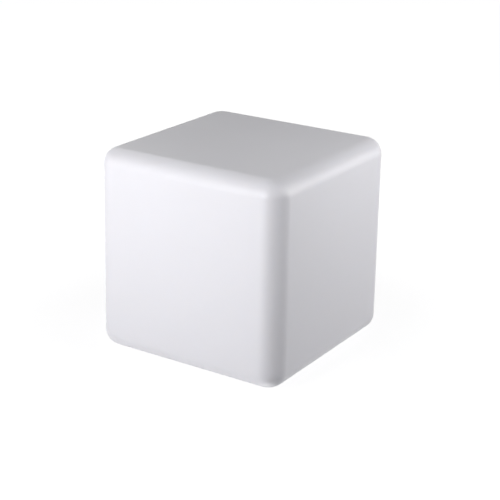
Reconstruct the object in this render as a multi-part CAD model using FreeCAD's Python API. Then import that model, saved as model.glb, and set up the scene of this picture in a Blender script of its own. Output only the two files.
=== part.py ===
import FreeCAD, Part
import math
import os

from FreeCAD import Vector

# A battery cube light for the garden or terrace. A hollow cube, moulded in one piece from milky
# polyethylene, stands on four rubber feet. A round well in its underside has a hole, which a screwed
# base module closes: a tray with the battery, the control board, the push button and the charging
# socket, and on top of it the LED board under a clear cover, which lights the cube from inside.
#
# Millimetres, +Z up. The origin is on the ground under the cube's centre. The front is -Y.

# ---- Shell ----
cube_side = 400.0            # over the walls, at the foot
shell_height = 392.0
wall = 3.5
draft_angle = 0.2            # degrees that each side leans in towards the top
upright_radius = 38.0        # the four upright edges
top_radius = 31.0
bottom_radius = 33.0

# ---- Feet, glued into shallow seats ----
foot_radius = 16.0
foot_stand = 8.0             # height of the shell over the ground
foot_seat_depth = 2.0
foot_seat_gap = 0.25
foot_inset = 72.0            # from the side of the cube to the middle of a foot
foot_bevel = 2.0
foot_groove_depth = 1.0
foot_groove_width = 3.0

# ---- Well in the underside ----
well_depth = 20.0
well_taper = 2.0             # degrees
well_rim_inside_radius = 2.5
well_corner_radius = 4.0
ledge_margin = 2.0           # plastic beside an insert's boss, on both sides

# ---- Moulded-in inserts and the screws of the base module ----
insert_count = 6
insert_first_angle = 30.0    # degrees
insert_across_flats = 8.0
insert_length = 10.0
insert_bore_depth = 8.5
insert_waist_length = 3.0
insert_waist_depth = 0.8
m4_radius = 2.0
m4_head_radius = 3.8
m4_head_height = 2.6
m3_radius = 1.5
m3_head_radius = 2.8
m3_head_height = 2.0
thread_gap = 0.05            # between a thread's outside and its hole
hole_gap = 0.3               # round a screw that passes through
head_gap = 0.4               # round a sunk screw head

# ---- Tray ----
gasket_thickness = 2.0
gasket_margin = 1.5          # from the edge of the shell's hole
flange_thickness = 4.0
flange_gap = 3.0             # to the wall of the well
flange_edge_radius = 1.2
screw_sink = 2.0             # depth of the sinks for the heads in the flange
tray_floor = 3.0
tub_wall = 2.5
tub_gap = 3.0                # from the tub to the shell's hole
tub_clearance = 7.0          # from the corner of the battery to the tub
rib = 2.0
pillar_radius = 4.5          # the four pillars that carry the cover
pillar_first_angle = 45.0    # degrees
pillar_inset = 8.5           # from the tub's inside to the pillar's middle
pilot_depth = 9.0            # of screw holes in plastic
post_radius = 3.5            # small posts of the board and the battery clamp
fit_gap = 0.2                # between parts that drop into each other

# ---- Battery: three cells side by side ----
cell_count = 3
cell_radius = 9.25
cell_length = 65.0
cell_gap = 0.5
cell_lift = 2.0              # over the tray's floor
cap_radius_positive = 2.9
cap_height_positive = 1.1
cell_edge_bevel = 0.8
battery_near_side = -6.5     # the battery's near side, along Y
strip_thickness = 0.3
strip_width = 8.0
protection_thickness = 1.2
protection_height = 14.0
saddle_spread = 20.0         # from the middle to each saddle
saddle_gap = 0.15
fence_gap = 0.6
fence_height = 9.0
clamp_width = 14.0
clamp_cover = 2.0            # plastic over the top of the cells
clamp_ear = 3.0
clamp_post_gap = 0.75

# ---- Control board ----
board_length = 68.0
board_depth = 36.0
board_thickness = 1.6
board_rise = 14.0            # underside over the tray's floor
board_post_inset = 4.0
board_gap = 1.0              # to the battery clamp's post
board_corner_radius = 2.0
controller_side = 8.0
controller_height = 1.4
driver_size = (4.0, 3.0, 1.2)
driver_pitch = 7.0
coil_side = 7.0
coil_height = 3.5
capacitor_radius = 3.0
capacitor_height = 6.0
chip_gap = 1.5               # between the large components

# ---- Push button ----
button_offset = -17.0        # along X
button_radius = 7.0
button_slide_gap = 0.2
button_proud = 0.8
button_edge_radius = 0.8
button_dish_radius = 12.0
button_dish_depth = 1.2
button_guide = 7.0           # length of the guide, from the underside
button_lip = 1.6             # width and thickness of the lip that holds it in
button_travel = 1.6
guide_wall = 1.8
switch_side = 10.0
switch_height = 6.0
plunger_radius = 1.5
plunger_length = 1.8         # out of the switch
stem_radius = 2.3
spring_radius = 3.7          # middle of the wire
spring_wire_radius = 0.35
spring_turns = 4.0
spring_well_radius = 4.8
button_floor = 2.6           # plastic under the spring
oring_radius = 0.6
oring_gap = 0.03

# ---- Charging socket and its rubber cap ----
socket_offset = 17.0         # along X
socket_side = 11.0
socket_nose_radius = 5.2
socket_bore_radius = 2.85
socket_bore_depth = 9.5
socket_pin_radius = 1.05
socket_pin_recess = 1.0
socket_sunk = 5.5            # from the underside to the socket's mouth
socket_hole_radius = 6.0
socket_seal_thickness = 1.0
nose_length = 3.5
cap_radius = 8.5
cap_thickness = 1.8
cap_pocket_depth = 1.2
cap_pocket_gap = 0.5
cap_air = 0.3                # between the cap and the pocket's ceiling
spigot_radius = 5.5
spigot_length = 3.0
hinge_reach = 12.5           # from the socket's middle to the cap's bending line
strap_width = 6.0
strap_split = 0.3            # between the cap and its anchor, at the bending line
anchor_reach = 4.5           # from the bending line to the anchor
anchor_stem_radius = 1.9
anchor_head_radius = 2.8
anchor_head_height = 2.0

# ---- Indicator and air vent ----
pipe_radius = 1.5
pipe_lip = 1.0
pipe_air = 0.5               # to the indicator lamp
indicator_size = (3.2, 1.8, 1.0)
vent_position = (-50.0, -22.0)
vent_head_radius = 6.0
vent_head_height = 1.6
vent_stem_radius = 3.9
vent_barb = 0.7
vent_bore_radius = 1.2
vent_seal_radius = 0.45

# ---- LED deck and cover ----
deck_gap = 3.0               # from the battery clamp to the deck
deck_thickness = 1.5
pad_thickness = 0.5
led_board_radius = 44.0
led_board_thickness = 1.6
led_outer_ring = 36.0        # radius of each ring of LEDs, and how many stand on it
led_inner_ring = 18.0
led_outer_count = 16
led_inner_count = 8
led_side = 5.0
led_height = 1.6
led_screw_radius = 27.0
led_screw_first_angle = 45.0 # degrees
receiver_size = (6.0, 4.5, 5.5)
receiver_lens_radius = 1.8
cover_radius = 55.0
cover_wall = 2.0
cover_height = 26.0          # over its flange
cover_shoulder_radius = 12.0
cover_flange_thickness = 2.5
cover_seal_thickness = 1.0

# ---- Leads ----
wire_radius = 0.8
sleeve_radius = 1.6
lead_angle = -27.0           # degrees, where the LED lead passes the deck
lead_radius = 48.5
grommet_wall = 1.4
grommet_lip = 1.0
lead_loop = 9.7              # reach of the battery leads' loops
lead_arch = 4.0              # rise of the LED lead over its plug
header_size = (8.0, 7.0, 5.0)
plug_length = 6.0

# ---- Levels, from the ground up ----
shell_top = foot_stand + shell_height
ledge = foot_stand + well_depth
flange_top = ledge - gasket_thickness
underside = flange_top - flange_thickness
floor_level = underside + tray_floor
cell_axis = floor_level + cell_lift + cell_radius
clamp_top = cell_axis + cell_radius + clamp_cover
deck = clamp_top + deck_gap
deck_top = deck + deck_thickness
led_board_low = deck_top + pad_thickness
led_board_top = led_board_low + led_board_thickness
tub_rim = deck_top - cover_seal_thickness
cover_base = deck_top + cover_flange_thickness
board_low = floor_level + board_rise
board_top = board_low + board_thickness
switch_low = board_low - switch_height
socket_mouth = underside + socket_sunk
cap_ceiling = underside + cap_pocket_depth
cap_top = cap_ceiling - cap_air

# ---- Plan of the tray: the battery behind, the control board in front ----
cell_pitch = 2 * cell_radius + cell_gap
cell_rows = [battery_near_side + cell_radius + i * cell_pitch for i in range(cell_count)]
battery_far_side = cell_rows[-1] + cell_radius
battery_middle = (battery_near_side + battery_far_side) / 2
battery_end = cell_length / 2 + strip_thickness + protection_thickness
clamp_posts = [battery_near_side - clamp_post_gap - post_radius,
               battery_far_side + clamp_post_gap + post_radius]
board_back = clamp_posts[0] - post_radius - board_gap
board_middle = board_back - board_depth / 2
board_corner = math.hypot(board_length / 2, board_back - board_depth)
tub_inside = max(math.hypot(battery_end, battery_far_side) + tub_clearance, board_corner + fit_gap)
tub_outside = tub_inside + tub_wall
hole_radius = tub_outside + tub_gap
boss_radius = insert_across_flats / 2 / math.cos(math.radians(30)) + wall
insert_circle = hole_radius + ledge_margin + boss_radius
well_radius = insert_circle + boss_radius + ledge_margin + well_corner_radius
flange_radius = well_radius - flange_gap
pillar_circle = tub_inside - pillar_inset
foot_place = cube_side / 2 - foot_inset


# ---- Helpers ----
def cylinder(radius, low, high, x=0.0, y=0.0):
    return Part.makeCylinder(radius, high - low, Vector(x, y, low))


def ring(inner, outer, low, high, x=0.0, y=0.0):
    return cylinder(outer, low, high, x, y).cut(cylinder(inner, low, high, x, y))


def block(x_range, y_range, z_range):
    size = [high - low for low, high in (x_range, y_range, z_range)]
    return Part.makeBox(*size, Vector(x_range[0], y_range[0], z_range[0]))


def centred(length, width, low, high, x=0.0, y=0.0):
    return block((x - length / 2, x + length / 2), (y - width / 2, y + width / 2), (low, high))


def turned(profile, x=0.0, y=0.0):
    """A solid of revolution about the upright axis at x, y, from a list of (radius, height)."""
    corners = [Vector(x + radius, y, height) for radius, height in profile]
    face = Part.Face(Part.makePolygon(corners + corners[:1]))
    return face.revolve(Vector(x, y, 0), Vector(0, 0, 1), 360)


def joined(pieces):
    first, *rest = pieces
    return first.fuse(rest).removeSplitter() if rest else first


def edges_at(shape, height, radius=None, x=0.0, y=0.0):
    """The edges that lie wholly at one height, or only the circle of one radius about x, y."""
    found = []
    for edge in shape.Edges:
        box = edge.BoundBox
        if abs(box.ZMin - height) > 1e-4 or abs(box.ZMax - height) > 1e-4:
            continue
        if radius is not None:
            curve = edge.Curve
            if not isinstance(curve, Part.Circle) or abs(curve.Radius - radius) > 1e-3:
                continue
            if math.hypot(curve.Center.x - x, curve.Center.y - y) > 1e-3:
                continue
        found.append(edge)
    return found


def around(count, radius, first=0.0):
    """Evenly spaced places on a circle: x, y and the angle in degrees."""
    angles = [first + i * 360.0 / count for i in range(count)]
    return [(radius * math.cos(math.radians(a)), radius * math.sin(math.radians(a)), a) for a in angles]


def pan_screw(x, y, seat, length, radii, head_height, up):
    """A pan-head screw: its head lies on the seat, and its shank runs up, or down, from there."""
    shank_radius, head_radius = radii
    low, bevel = seat - head_height, 0.4 * head_height
    screw = turned([(0, low), (head_radius - bevel, low), (head_radius, low + bevel), (head_radius, seat),
                    (shank_radius, seat), (shank_radius, seat + length), (0, seat + length)], x, y)
    for length_x, length_y in ((1.1, 0.26), (0.26, 1.1)):
        screw = screw.cut(centred(length_x * head_radius, length_y * head_radius,
                                  low, low + 0.6 * head_height, x, y))
    if not up:
        screw.rotate(Vector(x, y, seat), Vector(1, 0, 0), 180)
    return screw


def m4_screw(x, y, seat, length):
    return pan_screw(x, y, seat, length, (m4_radius, m4_head_radius), m4_head_height, True)


def m3_screw(x, y, seat, length):
    return pan_screw(x, y, seat, length, (m3_radius, m3_head_radius), m3_head_height, False)


def oring(middle_radius, height, x, y, thickness_radius):
    """An O-ring, with eight flats for its round section."""
    return turned([(middle_radius + px, height + py) for px, py, _ in around(8, thickness_radius)], x, y)


def wire_path(points):
    """Straight runs joined by tangent arcs, each as large as its two runs allow."""
    points = [Vector(*p) for p in points]
    edges, start = [], points[0]
    for before, corner, after in zip(points, points[1:], points[2:]):
        back, ahead = before - corner, after - corner
        reach = 0.45 * min(back.Length, ahead.Length)
        back.normalize()
        ahead.normalize()
        enter, leave = corner + back * reach, corner + ahead * reach
        half_angle = back.getAngle(ahead) / 2
        bisector = back + ahead
        bisector.normalize()
        radius = reach * math.tan(half_angle)
        middle = corner + bisector * (radius / math.sin(half_angle) - radius)
        edges.append(Part.LineSegment(start, enter).toShape())
        edges.append(Part.Arc(enter, middle, leave).toShape())
        start = leave
    edges.append(Part.LineSegment(start, points[-1]).toShape())
    return Part.Wire(edges)


def lead(points, radius):
    path = wire_path(points)
    start = Vector(*points[0])
    direction = Vector(*points[1]) - start
    section = Part.Wire(Part.makeCircle(radius, start, direction))
    return path.makePipeShell([section], True, False)


# ---- Shell ----
def frustum(half_low, half_high, low, high):
    """A square block whose sides lean in."""
    corners = [Vector(sx * half, sy * half, z) for half, z in ((half_low, low), (half_high, high))
               for sx, sy in ((-1, -1), (1, -1), (1, 1), (-1, 1))]
    bottom, top = corners[:4], corners[4:]
    faces = [bottom[::-1], top]
    faces += [[bottom[i], bottom[(i + 1) % 4], top[(i + 1) % 4], top[i]] for i in range(4)]
    return Part.makeSolid(Part.makeShell([Part.Face(Part.makePolygon(f + f[:1])) for f in faces]))


def moulded_cube(inset):
    """The outside of the cube or, one wall further in, its inside, before anything is sunk into it."""
    low, high = foot_stand + inset, shell_top - inset
    lean = math.tan(math.radians(draft_angle))
    slant_inset = inset / math.cos(math.radians(draft_angle))
    half_low, half_high = [cube_side / 2 - (z - foot_stand) * lean - slant_inset for z in (low, high)]
    cube = frustum(half_low, half_high, low, high)
    uprights = [e for e in cube.Edges if e.BoundBox.ZLength > 0.9 * (high - low)]
    cube = cube.makeFillet(upright_radius - inset, uprights)
    cube = cube.makeFillet(top_radius - inset, edges_at(cube, high))
    return cube.makeFillet(bottom_radius - inset, edges_at(cube, low))


def well_core(grow):
    """The core that forms the well; grown by the wall, it is the hump that the well makes inside."""
    slope = math.tan(math.radians(well_taper))
    foot, head = foot_stand - 1.0, ledge + grow
    radii = [well_radius + grow - (z - ledge) * slope for z in (foot, head)]
    core = Part.makeCone(radii[0], radii[1], head - foot, Vector(0, 0, foot))
    return core.makeFillet(well_corner_radius + grow, edges_at(core, head))


def sunk(cube, grow, rim_radius):
    """The cube with the well and the seats of the feet sunk into its underside."""
    cube = cube.cut(well_core(grow))
    low = foot_stand + grow
    rim = [e for e in edges_at(cube, low) if isinstance(e.Curve, Part.Circle)
           and abs(e.Curve.Radius - well_radius - grow) < well_depth]
    cube = cube.makeFillet(rim_radius, rim)
    seat_radius = foot_radius + foot_seat_gap + grow
    for x, y in foot_places():
        cube = cube.cut(cylinder(seat_radius, foot_stand - 1.0, foot_stand + foot_seat_depth + grow, x, y))
    return cube


def foot_places():
    return [(sx * foot_place, sy * foot_place) for sy in (-1, 1) for sx in (-1, 1)]


def insert_places():
    return around(insert_count, insert_circle, insert_first_angle)


def shell():
    outside = sunk(moulded_cube(0.0), 0.0, wall + well_rim_inside_radius)
    inside = sunk(moulded_cube(wall), wall, well_rim_inside_radius)
    boss_top = ledge + insert_length + wall
    for x, y, _ in insert_places():
        boss = cylinder(boss_radius, ledge, boss_top, x, y)
        inside = inside.cut(boss.makeFillet(wall / 2, edges_at(boss, boss_top)))
    moulding = outside.cut(inside)
    moulding = moulding.cut(cylinder(hole_radius, foot_stand, ledge + 2 * wall))
    for x, y, _ in insert_places():
        moulding = moulding.cut(insert_body(x, y))
    return moulding


def insert_body(x, y):
    """Hexagon bar with a turned waist, which the plastic flows into."""
    corners = [Vector(x + px, y + py, ledge) for px, py, _ in
               around(6, insert_across_flats / 2 / math.cos(math.radians(30)))]
    bar = Part.Face(Part.makePolygon(corners + corners[:1])).extrude(Vector(0, 0, insert_length))
    middle = ledge + insert_length / 2
    waist = ring(insert_across_flats / 2 - insert_waist_depth, insert_across_flats,
                 middle - insert_waist_length / 2, middle + insert_waist_length / 2, x, y)
    return bar.cut(waist)


def insert_nuts():
    bore = m4_radius + thread_gap
    return [insert_body(x, y).cut(cylinder(bore, ledge, ledge + insert_bore_depth, x, y))
            for x, y, _ in insert_places()]


def foot(x, y):
    """A rubber foot with a bevelled tread and a grip groove in it."""
    top = foot_stand + foot_seat_depth
    disc = turned([(0, 0), (foot_radius - foot_bevel, 0), (foot_radius, foot_bevel),
                   (foot_radius, top), (0, top)], x, y)
    middle = foot_radius / 2
    return disc.cut(ring(middle - foot_groove_width / 2, middle + foot_groove_width / 2,
                         0, foot_groove_depth, x, y))


# ---- Base module ----
def base_gasket():
    flat_edge = well_radius - well_corner_radius
    seal = ring(hole_radius + gasket_margin, flat_edge - gasket_margin, flange_top, ledge)
    for x, y, _ in insert_places():
        seal = seal.cut(cylinder(m4_radius + hole_gap, flange_top, ledge, x, y))
    return seal


def base_screws():
    seat = underside + screw_sink
    length = ledge + insert_bore_depth - 0.5 - seat
    return [m4_screw(x, y, seat, length) for x, y, _ in insert_places()]


def board_posts():
    half_x = board_length / 2 - board_post_inset
    half_y = board_depth / 2 - board_post_inset
    return [(sx * half_x, board_middle + sy * half_y) for sy in (-1, 1) for sx in (-1, 1)]


def pillar_places():
    return around(4, pillar_circle, pillar_first_angle)


def pilot(top, x, y):
    return cylinder(m3_radius + thread_gap, top - pilot_depth, top, x, y)


def tray_shape():
    """The tray's flange, floor and tub."""
    flange = cylinder(flange_radius, underside, flange_top)
    flange = flange.makeFillet(flange_edge_radius, edges_at(flange, underside))
    tub = cylinder(tub_outside, underside + 1.0, tub_rim)
    return flange.fuse(tub).cut(cylinder(tub_inside, floor_level, tub_rim))


def tray_posts():
    """Everything that stands on the tray's floor."""
    posts = []
    for x, y, angle in pillar_places():
        posts.append(cylinder(pillar_radius, floor_level, deck, x, y))
        web = block((pillar_circle + pillar_radius - 1.0, tub_inside + tub_wall / 2),
                    (-rib / 2, rib / 2), (floor_level, deck - fit_gap))
        web.rotate(Vector(0, 0, 0), Vector(0, 0, 1), angle)
        posts.append(web)
    posts += [cylinder(post_radius, floor_level, board_low, x, y) for x, y in board_posts()]
    ear_low = clamp_top - clamp_ear - cell_radius / 2
    posts += [cylinder(post_radius, floor_level, ear_low, 0, y) for y in clamp_posts]
    for x in (-saddle_spread, saddle_spread):
        posts.append(block((x - rib / 2, x + rib / 2), (battery_near_side, battery_far_side),
                           (floor_level, cell_axis)))
    for side in (-1, 1):
        x = side * (battery_end + fence_gap + rib / 2)
        posts.append(centred(rib, cell_pitch, floor_level, floor_level + fence_height, x, battery_middle))
    guide_inside = button_radius + button_lip + button_slide_gap
    posts.append(cylinder(guide_inside + guide_wall, floor_level, board_low - fit_gap,
                          button_offset, board_middle))
    posts.append(cylinder(socket_hole_radius + guide_wall, floor_level, socket_shoulder(),
                          socket_offset, board_middle))
    return posts


def socket_shoulder():
    """Where the tray's collar ends and the socket's seal lies."""
    return socket_mouth + nose_length - socket_seal_thickness


def tray_openings():
    """Everything that is cut into or through the tray."""
    far = underside - 1.0
    cuts = [pilot(deck, x, y) for x, y, _ in pillar_places()]
    cuts += [pilot(board_low, x, y) for x, y in board_posts()]
    ear_low = clamp_top - clamp_ear - cell_radius / 2
    cuts += [pilot(ear_low, 0, y) for y in clamp_posts]
    for x, y, _ in insert_places():
        cuts.append(cylinder(m4_radius + hole_gap, far, flange_top + 1.0, x, y))
        cuts.append(cylinder(m4_head_radius + head_gap, far, underside + screw_sink, x, y))
    for y in cell_rows:
        cell = Part.makeCylinder(cell_radius + saddle_gap, cell_length,
                                 Vector(-cell_length / 2, y, cell_axis), Vector(1, 0, 0))
        cuts.append(cell)
    shoulder = underside + button_guide
    cuts += [cylinder(button_dish_radius, far, underside + button_dish_depth, button_offset, board_middle),
             cylinder(button_radius + button_slide_gap, far, shoulder, button_offset, board_middle),
             cylinder(button_radius + button_lip + button_slide_gap, shoulder, board_low,
                      button_offset, board_middle)]
    cuts += [cylinder(socket_hole_radius, far, socket_mouth, socket_offset, board_middle),
             cylinder(socket_nose_radius + fit_gap, far, socket_shoulder(), socket_offset, board_middle),
             cylinder(cap_radius + cap_pocket_gap, far, cap_ceiling, socket_offset, board_middle)]
    hinge_line = board_middle - hinge_reach
    anchor = hinge_line - anchor_reach
    half_slot = strap_width / 2 + cap_pocket_gap
    cuts.append(block((socket_offset - half_slot, socket_offset + half_slot),
                      (anchor, board_middle), (far, cap_ceiling)))
    cuts.append(cylinder(half_slot, far, cap_ceiling, socket_offset, anchor))
    cuts.append(cylinder(anchor_stem_radius + fit_gap / 2, far, floor_level + 1.0, socket_offset, anchor))
    cuts.append(cylinder(pipe_radius + fit_gap / 2, far, floor_level + 1.0, 0, board_middle))
    cuts.append(cylinder(vent_stem_radius + fit_gap / 2, far, floor_level + 1.0, *vent_position))
    return cuts


def base_tray():
    tray = joined([tray_shape()] + tray_posts())
    return tray.cut(tray_openings())


# ---- Push button ----
def power_button():
    """A cup with a stem in its middle; the return spring stands in the cup."""
    x, y = button_offset, board_middle
    low = underside - button_proud
    shoulder = underside + button_guide
    lip_top = shoulder + 0.05 + button_lip
    body = cylinder(button_radius, low, lip_top, x, y)
    body = body.makeFillet(button_edge_radius, edges_at(body, low))
    body = body.fuse(cylinder(button_radius + button_lip, shoulder + 0.05, lip_top, x, y))
    body = body.cut(cylinder(spring_well_radius, low + button_floor, lip_top, x, y))
    body = body.fuse(cylinder(stem_radius, low + button_floor, switch_low - plunger_length, x, y))
    groove_inner = button_radius + button_slide_gap - oring_gap - 2 * oring_radius
    groove = ring(groove_inner, button_radius + 1.0, oring_level() - oring_radius - oring_gap,
                  oring_level() + oring_radius + oring_gap, x, y)
    return body.cut(groove).removeSplitter()


def oring_level():
    """Low enough in the guide to stay in it over the whole travel."""
    return underside + button_guide - button_travel - 2 * oring_radius


def button_seal():
    middle = button_radius + button_slide_gap - oring_gap - oring_radius
    return oring(middle, oring_level(), button_offset, board_middle, oring_radius)


def button_spring():
    """Return spring, from the floor of the button's cup up to the switch: short straight runs of wire."""
    low = underside - button_proud + button_floor + spring_wire_radius
    high = switch_low - spring_wire_radius
    steps = round(spring_turns * 16)
    points = []
    for i in range(steps + 1):
        angle = 2 * math.pi * spring_turns * i / steps
        points.append(Vector(button_offset + spring_radius * math.cos(angle),
                             board_middle + spring_radius * math.sin(angle),
                             low + (high - low) * i / steps))
    section = Part.Wire(Part.makeCircle(spring_wire_radius, points[0], points[1] - points[0]))
    mitred = 1
    return Part.makePolygon(points).makePipeShell([section], True, False, mitred)


def push_switch():
    body = centred(switch_side, switch_side, switch_low, board_low, button_offset, board_middle)
    hole_top = switch_low + 2 * plunger_length + fit_gap
    return body.cut(cylinder(plunger_radius + fit_gap, switch_low, hole_top, button_offset, board_middle))


def switch_plunger():
    """It rests on the button's stem and goes into the switch with it."""
    low = switch_low - plunger_length
    return cylinder(plunger_radius, low, low + 2 * plunger_length - fit_gap, button_offset, board_middle)


# ---- Charging socket ----
def charge_socket():
    x, y = socket_offset, board_middle
    body = centred(socket_side, socket_side, socket_mouth + nose_length, board_low, x, y)
    body = body.fuse(cylinder(socket_nose_radius, socket_mouth, socket_mouth + nose_length, x, y))
    body = body.cut(cylinder(socket_bore_radius, socket_mouth, socket_mouth + socket_bore_depth, x, y))
    return body.cut(cylinder(socket_pin_radius, socket_mouth, board_low, x, y)).removeSplitter()


def socket_pin():
    tip = socket_mouth + socket_pin_recess
    pin = cylinder(socket_pin_radius, tip, board_low, socket_offset, board_middle)
    return pin.makeFillet(0.45 * socket_pin_radius, edges_at(pin, tip))


def socket_seal():
    low = socket_shoulder()
    return ring(socket_nose_radius, socket_hole_radius + guide_wall / 2, low, low + socket_seal_thickness,
                socket_offset, board_middle)


def port_cap():
    """Rubber cap with a spigot and a strap, which ends in a round at its bending line."""
    x, y = socket_offset, board_middle
    low = cap_top - cap_thickness
    hinge_line = y - hinge_reach
    disc = cylinder(cap_radius, low, cap_top, x, y)
    spigot = cylinder(spigot_radius, cap_top, cap_top + spigot_length, x, y)
    spigot = spigot.makeFillet(0.6, edges_at(spigot, cap_top + spigot_length))
    strap = block((x - strap_width / 2, x + strap_width / 2), (hinge_line, y), (low, cap_top))
    knuckle = Part.makeCylinder(cap_thickness / 2, strap_width,
                                Vector(x - strap_width / 2, hinge_line, hinge_level()), Vector(1, 0, 0))
    return joined([disc, spigot, strap, knuckle])


def hinge_level():
    return cap_top - cap_thickness / 2


def port_cap_anchor():
    """The fixed end of the strap, with a stem that is pulled through the tray's floor."""
    x = socket_offset
    low = cap_top - cap_thickness
    hinge_line = board_middle - hinge_reach
    anchor = hinge_line - anchor_reach
    strap = block((x - strap_width / 2, x + strap_width / 2), (anchor, hinge_line), (low, cap_ceiling))
    swing = Part.makeCylinder(cap_thickness / 2 + strap_split, strap_width,
                              Vector(x - strap_width / 2, hinge_line, hinge_level()), Vector(1, 0, 0))
    opened = block((x - strap_width / 2, x + strap_width / 2), (hinge_line - cap_thickness, hinge_line),
                   (low, hinge_level()))
    strap = strap.cut([swing, opened])
    pad = cylinder(strap_width / 2, low, cap_ceiling, x, anchor)
    stem = cylinder(anchor_stem_radius, cap_ceiling, floor_level + anchor_head_height, x, anchor)
    barb = Part.makeCone(anchor_head_radius, anchor_stem_radius, anchor_head_height,
                         Vector(x, anchor, floor_level))
    return max(joined([strap, pad, stem, barb]).Solids, key=lambda solid: solid.Volume)


# ---- Indicator and vent ----
def light_pipe():
    y = board_middle
    top = board_low - indicator_size[2] - pipe_air
    return turned([(0, underside), (pipe_radius, underside), (pipe_radius, floor_level),
                   (pipe_radius + pipe_lip, floor_level), (pipe_radius + pipe_lip, floor_level + rib),
                   (pipe_radius, floor_level + rib), (pipe_radius, top), (0, top)], 0, y)


def indicator_lamp():
    length, width, height = indicator_size
    return centred(length, width, board_low - height, board_low, 0, board_middle)


def vent_plug():
    """A push-in air vent: mushroom head outside, barbed stem inside, a bore through both."""
    x, y = vent_position
    head_low = underside - vent_head_height
    barb_low = floor_level + fit_gap
    plug = turned([(vent_bore_radius, head_low + 0.6), (vent_bore_radius, barb_low + 1.6),
                   (vent_stem_radius - 0.8, barb_low + 1.6), (vent_stem_radius + vent_barb, barb_low),
                   (vent_stem_radius, barb_low), (vent_stem_radius, underside),
                   (vent_head_radius, underside), (vent_head_radius, head_low + 0.6),
                   (vent_head_radius - 0.6, head_low), (0, head_low), (0, head_low + 0.6)], x, y)
    groove_middle = (vent_stem_radius + vent_head_radius) / 2
    groove = ring(groove_middle - vent_seal_radius - oring_gap, groove_middle + vent_seal_radius + oring_gap,
                  underside - 2 * vent_seal_radius, underside, x, y)
    return plug.cut(groove)


def vent_seal():
    middle = (vent_stem_radius + vent_head_radius) / 2
    return oring(middle, underside - vent_seal_radius, *vent_position, vent_seal_radius)


# ---- Control board ----
def control_board():
    board = centred(board_length, board_depth, board_low, board_top, 0, board_middle)
    upright = [e for e in board.Edges if e.BoundBox.ZLength > 0.5 * board_thickness]
    board = board.makeFillet(board_corner_radius, upright)
    holes = [cylinder(m3_radius + fit_gap, board_low, board_top, x, y) for x, y in board_posts()]
    return board.cut(holes)


def board_chips():
    """In a row behind: two capacitors, the controller and a coil; in front: four driver transistors."""
    length, width, height = driver_size
    back_row = board_middle + controller_side / 2
    front_row = board_middle - controller_side
    chips = [centred(controller_side, controller_side, board_top, board_top + controller_height, 0, back_row)]
    for i in range(4):
        chips.append(centred(length, width, board_top, board_top + height, (i - 1.5) * driver_pitch, front_row))
    coil_place = controller_side / 2 + chip_gap + coil_side / 2
    chips.append(centred(coil_side, coil_side, board_top, board_top + coil_height, coil_place, back_row))
    for i in range(2):
        x = -controller_side / 2 - chip_gap - capacitor_radius - i * (2 * capacitor_radius + chip_gap)
        chips.append(cylinder(capacitor_radius, board_top, board_top + capacitor_height, x, back_row))
    return chips


def header(side):
    """Plug-in connector at the board's left or right end; the lead enters from outside."""
    length, width, height = header_size
    x = side * (board_length / 2 - length / 2)
    return centred(length, width, board_top, board_top + height, x, board_middle)


def control_board_screws():
    return [m3_screw(x, y, board_top, board_thickness + pilot_depth - 1.0) for x, y in board_posts()]


# ---- Battery ----
def battery_cells():
    """Round cells with a rolled edge and a raised positive cap."""
    cells = []
    can_end = cell_length / 2 - cap_height_positive
    for y in cell_rows:
        can = Part.makeCylinder(cell_radius, cell_length / 2 + can_end,
                                Vector(-cell_length / 2, y, cell_axis), Vector(1, 0, 0))
        can = can.makeChamfer(cell_edge_bevel, [e for e in can.Edges if isinstance(e.Curve, Part.Circle)])
        cap = Part.makeCylinder(cap_radius_positive, cap_height_positive,
                                Vector(can_end, y, cell_axis), Vector(1, 0, 0))
        cells.append(can.fuse(cap).removeSplitter())
    return cells


def cell_strips():
    """Welded strips that join the cells at both ends."""
    reach = (cell_count - 1) * cell_pitch + strip_width
    ends = (cell_length / 2, cell_length / 2 + strip_thickness), (-cell_length / 2 - strip_thickness,
                                                                  -cell_length / 2)
    y_range = (battery_middle - reach / 2, battery_middle + reach / 2)
    z_range = (cell_axis - strip_width / 2, cell_axis + strip_width / 2)
    return [block(x_range, y_range, z_range) for x_range in ends]


def protection_board():
    face = -cell_length / 2 - strip_thickness
    reach = (cell_count - 1) * cell_pitch + strip_width
    return block((face - protection_thickness, face),
                 (battery_middle - reach / 2, battery_middle + reach / 2),
                 (cell_axis - protection_height / 2, cell_axis + protection_height / 2))


def battery_clamp():
    """A bridge with an arch over each cell and an ear at each end."""
    ear_low = clamp_top - clamp_ear - cell_radius / 2
    ear_top = ear_low + clamp_ear
    ear_end = post_radius + 0.5
    low, high = clamp_posts
    bridge = block((-clamp_width / 2, clamp_width / 2), (battery_near_side, battery_far_side),
                   (ear_low, clamp_top))
    upper = [e for e in edges_at(bridge, clamp_top) if e.BoundBox.XLength > 0.9 * clamp_width]
    bridge = bridge.makeFillet(0.4 * (clamp_top - ear_low), upper)
    ears = block((-clamp_width / 2, clamp_width / 2), (low - ear_end, high + ear_end), (ear_low, ear_top))
    clamp = bridge.fuse(ears).removeSplitter()
    for y in cell_rows:
        clamp = clamp.cut(Part.makeCylinder(cell_radius + saddle_gap, cell_length,
                                            Vector(-cell_length / 2, y, cell_axis), Vector(1, 0, 0)))
    clamp = max(clamp.Solids, key=lambda solid: solid.Volume)
    return clamp.cut([cylinder(m3_radius + hole_gap, ear_low, ear_top, 0, y) for y in clamp_posts])


def clamp_screws():
    ear_top = clamp_top - cell_radius / 2
    return [m3_screw(0, y, ear_top, clamp_ear + pilot_depth - 1.0) for y in clamp_posts]


# ---- LED deck ----
def lead_place():
    angle = math.radians(lead_angle)
    return lead_radius * math.cos(angle), lead_radius * math.sin(angle)


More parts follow.
